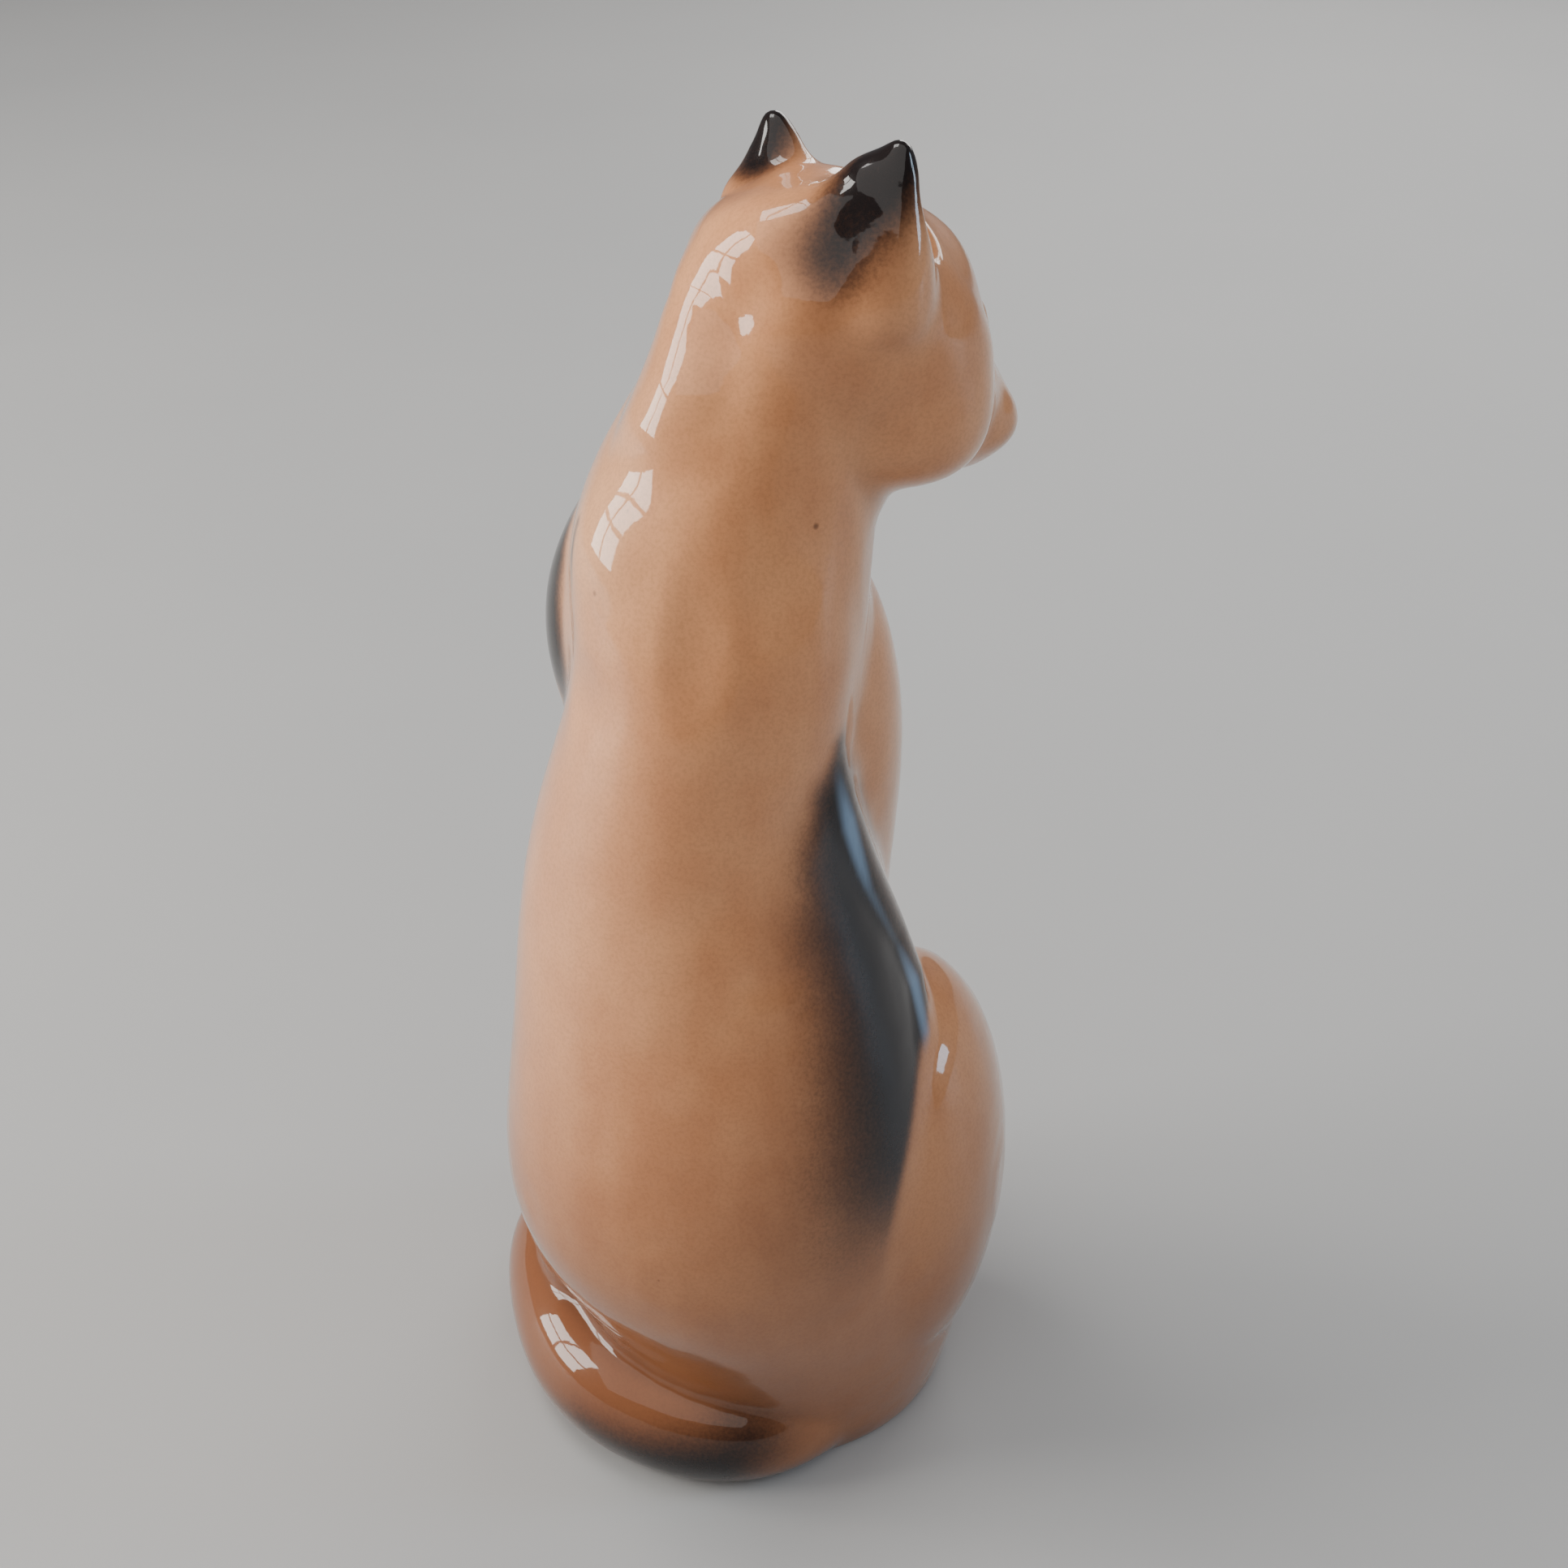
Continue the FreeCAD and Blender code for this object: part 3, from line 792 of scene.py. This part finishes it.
class Nodes:
    """A short way to write a material's nodes."""

    def __init__(self, name):
        self.material = bpy.data.materials.new(name)
        self.material.use_nodes = True
        self.tree = self.material.node_tree
        self.shader = self.tree.nodes["Principled BSDF"]

    def put(self, socket, value):
        if isinstance(value, bpy.types.NodeSocket):
            self.tree.links.new(value, socket)
        else:
            socket.default_value = value

    def math(self, kind, a, b=0.0, c=0.0):
        node = self.tree.nodes.new("ShaderNodeMath")
        node.operation = kind
        for socket, value in zip(node.inputs, (a, b, c)):
            self.put(socket, value)
        return node.outputs[0]

    def rise(self, value, low, high, bottom=0.0, top=1.0):
        node = self.tree.nodes.new("ShaderNodeMapRange")
        node.interpolation_type = "SMOOTHSTEP"
        for key, number in (("From Min", low), ("From Max", high), ("To Min", bottom), ("To Max", top)):
            node.inputs[key].default_value = number
        self.put(node.inputs["Value"], value)
        return node.outputs[0]

    def mix(self, part, a, b):
        node = self.tree.nodes.new("ShaderNodeMix")
        node.data_type = "RGBA"
        self.put(node.inputs[0], part)
        self.put(node.inputs[6], a)
        self.put(node.inputs[7], b)
        return node.outputs[2]

    def trait(self, name):
        node = self.tree.nodes.new("ShaderNodeAttribute")
        node.attribute_name = name
        return node.outputs["Fac"]

    def place(self, scale=(1, 1, 1)):
        coords = self.tree.nodes.new("ShaderNodeTexCoord").outputs["Object"]
        node = self.tree.nodes.new("ShaderNodeMapping")
        node.inputs["Scale"].default_value = scale
        self.tree.links.new(coords, node.inputs["Vector"])
        return node.outputs[0]

    def noise(self, scale, detail=2.0, rough=0.5, stretch=(1, 1, 1)):
        node = self.tree.nodes.new("ShaderNodeTexNoise")
        node.inputs["Scale"].default_value = scale
        node.inputs["Detail"].default_value = detail
        node.inputs["Roughness"].default_value = rough
        self.tree.links.new(self.place(stretch), node.inputs["Vector"])
        return node.outputs["Fac"]

    def cells(self, scale):
        node = self.tree.nodes.new("ShaderNodeTexVoronoi")
        node.inputs["Scale"].default_value = scale
        self.tree.links.new(self.place(), node.inputs["Vector"])
        return node.outputs["Distance"], node.outputs["Color"]

    def bump(self, height, distance, base=None):
        node = self.tree.nodes.new("ShaderNodeBump")
        node.inputs["Distance"].default_value = distance
        self.tree.links.new(height, node.inputs["Height"])
        if base is not None:
            self.tree.links.new(base, node.inputs["Normal"])
        return node.outputs[0]

    def set(self, **values):
        for key, value in values.items():
            self.put(self.shader.inputs[key.replace("_", " ")], value)


TAN = (0.7, 0.32, 0.148, 1)
RUSSET = (0.57, 0.235, 0.102, 1)
CREAM = (0.82, 0.5, 0.3, 1)
SHADE_BROWN = (0.2, 0.072, 0.03, 1)
UMBER = (0.12, 0.045, 0.021, 1)
SOOT = (0.004, 0.0035, 0.0045, 1)
STEEL = (0.22, 0.33, 0.47, 1)
BISQUE = (0.66, 0.58, 0.47, 1)
IRON_SPECKS = [
    (-0.9, 10.4, 126.0), (9.9, 13.8, 111.0), (4.5, 15.3, 112.8), (-10.5, 9.0, 118.5),
    (8.0, 25.3, 69.6), (-8.4, 30.5, 44.9), (2.5, 22.0, 84.0), (-14.0, 22.0, 60.0),
]
SPECK_CORE, SPECK_EDGE = 0.22, 0.5


def glaze():
    """Tan glaze over a cream casting, sprayed with soot at the ears, flank, shoulder and tail.

    The steel blue on the flank isn't the glaze's own. It stands in for a reflection. The darker brown low
    down is painted shade.
    """
    n = Nodes("tan_glaze")
    cloud = n.noise(55.0, 4.0, 0.6)
    streak = n.noise(150.0, 3.0, 0.55, (1.0, 1.0, 0.28))
    grain = n.noise(2600.0, 2.0, 0.6)
    blot = n.math("ADD", n.math("MULTIPLY", cloud, 0.65), n.math("MULTIPLY", streak, 0.35))
    colour = n.mix(n.rise(blot, 0.36, 0.66), TAN, RUSSET)
    # Cream up the left side, partly the glaze's own colour and partly a painted highlight.
    colour = n.mix(n.math("MULTIPLY", n.trait("cream"), 0.5), colour, CREAM)
    # Painted shade: the lower body darkened towards brown.
    colour = n.mix(n.math("MULTIPLY", n.trait("low_shade"), 0.88), colour, SHADE_BROWN)
    colour = n.mix(n.math("MULTIPLY", n.trait("thin"), 0.15), colour, CREAM)
    colour = n.mix(n.math("MULTIPLY", n.trait("pool"), 0.55), colour, UMBER)
    colour = n.mix(n.rise(grain, 0.35, 0.75, 0.0, 0.16), colour, UMBER)
    smoke = n.trait("smoke")
    haze = n.math("ADD", smoke, n.math("MULTIPLY", n.math("SUBTRACT", cloud, 0.5), 0.14))
    colour = n.mix(n.rise(haze, 0.02, 0.78, 0.0, 0.9), colour, UMBER)
    droplets = n.math("ADD", smoke, n.math("MULTIPLY", n.math("SUBTRACT", grain, 0.5), 0.3))
    soot = n.math("MAXIMUM", n.rise(droplets, 0.3, 1.0), n.trait("line"))
    colour = n.mix(n.math("MULTIPLY", soot, 0.97), colour, SOOT)
    colour = n.mix(n.math("MULTIPLY", n.rise(n.trait("sheen"), 0.0, 1.0), 0.85), colour, STEEL)
    gap, chance = n.cells(420.0)
    rare = n.rise(chance, 0.9, 0.92)
    dots = n.math("MULTIPLY", n.math("SUBTRACT", 1.0, n.rise(gap, 0.07, 0.12)), rare)
    for x, y, z in IRON_SPECKS:
        node = n.tree.nodes.new("ShaderNodeVectorMath")
        node.operation = "DISTANCE"
        n.tree.links.new(n.place(), node.inputs[0])
        node.inputs[1].default_value = (x * MM, y * MM, z * MM)
        clear = n.rise(node.outputs["Value"], SPECK_CORE * MM, SPECK_EDGE * MM)
        dots = n.math("MAXIMUM", dots, n.math("SUBTRACT", 1.0, clear))
    colour = n.mix(n.math("MULTIPLY", dots, 0.75), colour, UMBER)
    bare = n.trait("bare")
    colour = n.mix(bare, colour, BISQUE)
    swell = n.bump(n.noise(95.0, 1.0), 0.00028)
    peel = n.bump(n.noise(620.0, 2.0), 0.000012, swell)
    n.set(Base_Color=colour, Coat_Weight=n.math("SUBTRACT", 1.0, bare))
    n.set(Roughness=n.rise(bare, 0.0, 1.0, 0.32, 0.85), Coat_Roughness=0.045, Coat_IOR=1.45)
    n.set(Normal=peel, Coat_Normal=peel, Specular_IOR_Level=0.05)
    return n.material


def eye_enamel():
    """Olive-gold iris with a slit pupil, ringed in black."""
    n = Nodes("eye_enamel")
    across, up = n.trait("across"), n.trait("up")
    out = n.math("SQRT", n.math("ADD", n.math("MULTIPLY", across, across), n.math("MULTIPLY", up, up)))
    flecks = n.noise(1700.0, 3.0)
    colour = n.mix(n.rise(out, 0.5, 1.6), (0.55, 0.42, 0.08, 1), (0.22, 0.2, 0.03, 1))
    colour = n.mix(n.rise(flecks, 0.4, 0.7, 0.0, 0.5), colour, (0.4, 0.16, 0.02, 1))
    slit = n.math("ADD", n.math("ABSOLUTE", across), n.math("MULTIPLY", n.math("MULTIPLY", up, up), 0.16))
    dark = n.math("SUBTRACT", 1.0, n.rise(slit, 0.3, 0.48))
    dark = n.math("MAXIMUM", dark, n.rise(out, 1.5, 1.85))
    dark = n.math("MAXIMUM", dark, n.trait("rim"))
    colour = n.mix(dark, colour, SOOT)
    n.set(Base_Color=colour, Roughness=0.2, Coat_Weight=1.0, Coat_Roughness=0.02)
    return n.material


def nose_enamel():
    """Pink-brown leather with darker nostrils."""
    n = Nodes("nose_enamel")
    mottle = n.noise(900.0, 3.0)
    colour = n.mix(n.rise(mottle, 0.3, 0.7), (0.42, 0.16, 0.12, 1), (0.3, 0.1, 0.075, 1))
    colour = n.mix(n.math("MULTIPLY", n.trait("pit"), 0.6), colour, UMBER)
    n.set(Base_Color=colour, Roughness=0.3, Coat_Weight=1.0, Coat_Roughness=0.05)
    n.set(Normal=n.bump(mottle, 0.00003))
    return n.material


# ---------------------------------------------------------------- making


def detail_spots(eyes):
    """The balls, as middle and radius, where the skin is cut finer and then finer still."""
    fine = [(eye.origin, 5.0) for eye in eyes] + [(HEAD.world((0, -22.5, -8.5)), 7.5)]
    fine += [(np.array((x, y + 2.5, 4.0)), 6.5) for x, y, _ in PAWS] + [(np.array((0, 0, 2)), 4.0)]
    fine += [(ear_place(side).world((0, -1.0, 6.0)), 7.5) for side in (-1, 1)]
    finer = [(eye.origin, 4.2) for eye in eyes] + [(HEAD.world((0, -23.0, -8.5)), 6.0)]
    return fine, finer


def make_cat():
    """Sculpts the figure, parts its skin into the nodes' pieces and glazes them."""
    cast, owner = casting()
    clay = Clay(soften(cast))
    model_back(clay)
    model_face(clay)
    clay.keep()
    eyes = [eye_place(clay, side) for side in (-1, 1)]
    model_details(clay, eyes)
    points, corners = surface(clay.field)
    corners = outward(points, corners)
    fine, finer = detail_spots(eyes)
    for spots in (fine, finer):
        points, corners = split_edges(points, corners, lambda p, s=spots: near_places(p, s))
    points = settle(clay, points)
    points[:, 2] = np.maximum(points[:, 2], 0.0)
    normals = clay.slope(points, 0.35)
    touched = near_places(points, finer)
    normals[touched] = clay.slope(points[touched], 0.12)
    normals /= np.maximum(np.linalg.norm(normals, axis=1), 1e-9)[:, None]
    share = shares(points, corners, owner)
    traits = traits_of(points, normals, clay.field, share)
    pieces = make_pieces(points, corners, normals, traits, share)
    coat = glaze()
    for piece in pieces.values():
        piece.data.materials.append(coat)
    enamel = eye_enamel()
    for name, eye, side in zip(("right_eye", "left_eye"), eyes, (-1, 1)):
        make_eye(name, eye, side).data.materials.append(enamel)
    make_nose(clay).data.materials.append(nose_enamel())


CAMERA_LENS = 48.447  # millimetres
CAMERA_AROUND, CAMERA_ABOVE, CAMERA_AWAY = 195, 33, 0.224  # degrees, degrees and metres


def make_camera():
    """The photograph's own view: from behind, to the cat's right and above."""
    data = bpy.data.cameras.new("camera")
    data.lens = CAMERA_LENS
    data.clip_start = 0.005
    camera = bpy.data.objects.new("camera", data)
    bpy.context.scene.collection.objects.link(camera)
    around, above = math.radians(CAMERA_AROUND), math.radians(CAMERA_ABOVE)
    right = Vector((math.cos(around), math.sin(around), 0))
    target = right * 0.004 + Vector((-0.00187, 0.00345, 0.0845))
    level = math.cos(above)
    back = Vector((math.sin(around) * level, -math.cos(around) * level, math.sin(above)))
    camera.location = target + back * CAMERA_AWAY
    camera.rotation_euler = (-back).to_track_quat("-Z", "Y").to_euler()
    bpy.context.scene.camera = camera


def make_lamp(name, size, power, where, turn, colour):
    data = bpy.data.lights.new(name, "AREA")
    data.shape = "RECTANGLE"
    data.size, data.size_y = size
    data.energy = power
    data.color = colour
    lamp = bpy.data.objects.new(name, data)
    lamp.location = where
    lamp.rotation_euler = turn.to_euler()
    bpy.context.scene.collection.objects.link(lamp)


def make_window(name, panes, size, power, where, colour, bar=0.025):
    """A window of panes across by panes down, with bars between them, facing the figure."""
    turn = (Vector((0, 0, 0.08)) - Vector(where)).to_track_quat("-Z", "Y")
    columns, rows = panes
    pane = (size[0] / columns - bar, size[1] / rows - bar)
    for i in range(columns):
        for j in range(rows):
            shift = Vector(((i + 0.5) / columns - 0.5, (j + 0.5) / rows - 0.5, 0))
            spot = Vector(where) + turn @ Vector((shift.x * size[0], shift.y * size[1], 0))
            make_lamp(f"{name}_{i}{j}", pane, power / (columns * rows), spot, turn, colour)


def make_room():
    """A pale floor, a broad warm window beyond the figure's left and a cooler one at its right."""
    make_window("window_left", (2, 2), (0.42, 0.46), 7.0, (0.66, 0.18, 0.3), (1, 0.97, 0.92))
    make_window("window_right", (1, 2), (0.3, 0.6), 5.0, (-1.1, -0.35, 0.42), (0.62, 0.8, 1))
    make_window("window_front", (3, 2), (0.66, 0.4), 3.6, (-0.12, -0.85, 0.42), (1, 0.98, 0.95))
    make_window("window_top", (1, 2), (0.4, 0.4), 3.6, (0.42, -0.1, 0.95), (1, 0.98, 0.95))
    make_window("skylight", (1, 1), (2.2, 2.0), 15.0, (0.05, 0.5, 1.15), (1, 0.98, 0.95))
    world = bpy.data.worlds.new("studio")
    world.use_nodes = True
    background = world.node_tree.nodes["Background"]
    background.inputs["Color"].default_value = (0.6, 0.6, 0.62, 1)
    background.inputs["Strength"].default_value = 0.22
    bpy.context.scene.world = world
    mesh = bpy.data.meshes.new("floor")
    mesh.from_pydata([(-3, -3, 0), (3, -3, 0), (3, 3, 0), (-3, 3, 0)], [], [(0, 1, 2, 3)])
    floor = bpy.data.objects.new("floor", mesh)
    bpy.context.scene.collection.objects.link(floor)
    n = Nodes("pale_floor")
    tone = n.noise(9.0, 4.0)
    n.set(Base_Color=n.mix(tone, (0.36, 0.36, 0.36, 1), (0.4, 0.397, 0.393, 1)), Roughness=0.6)
    mesh.materials.append(n.material)


make_cat()
make_camera()
make_room()
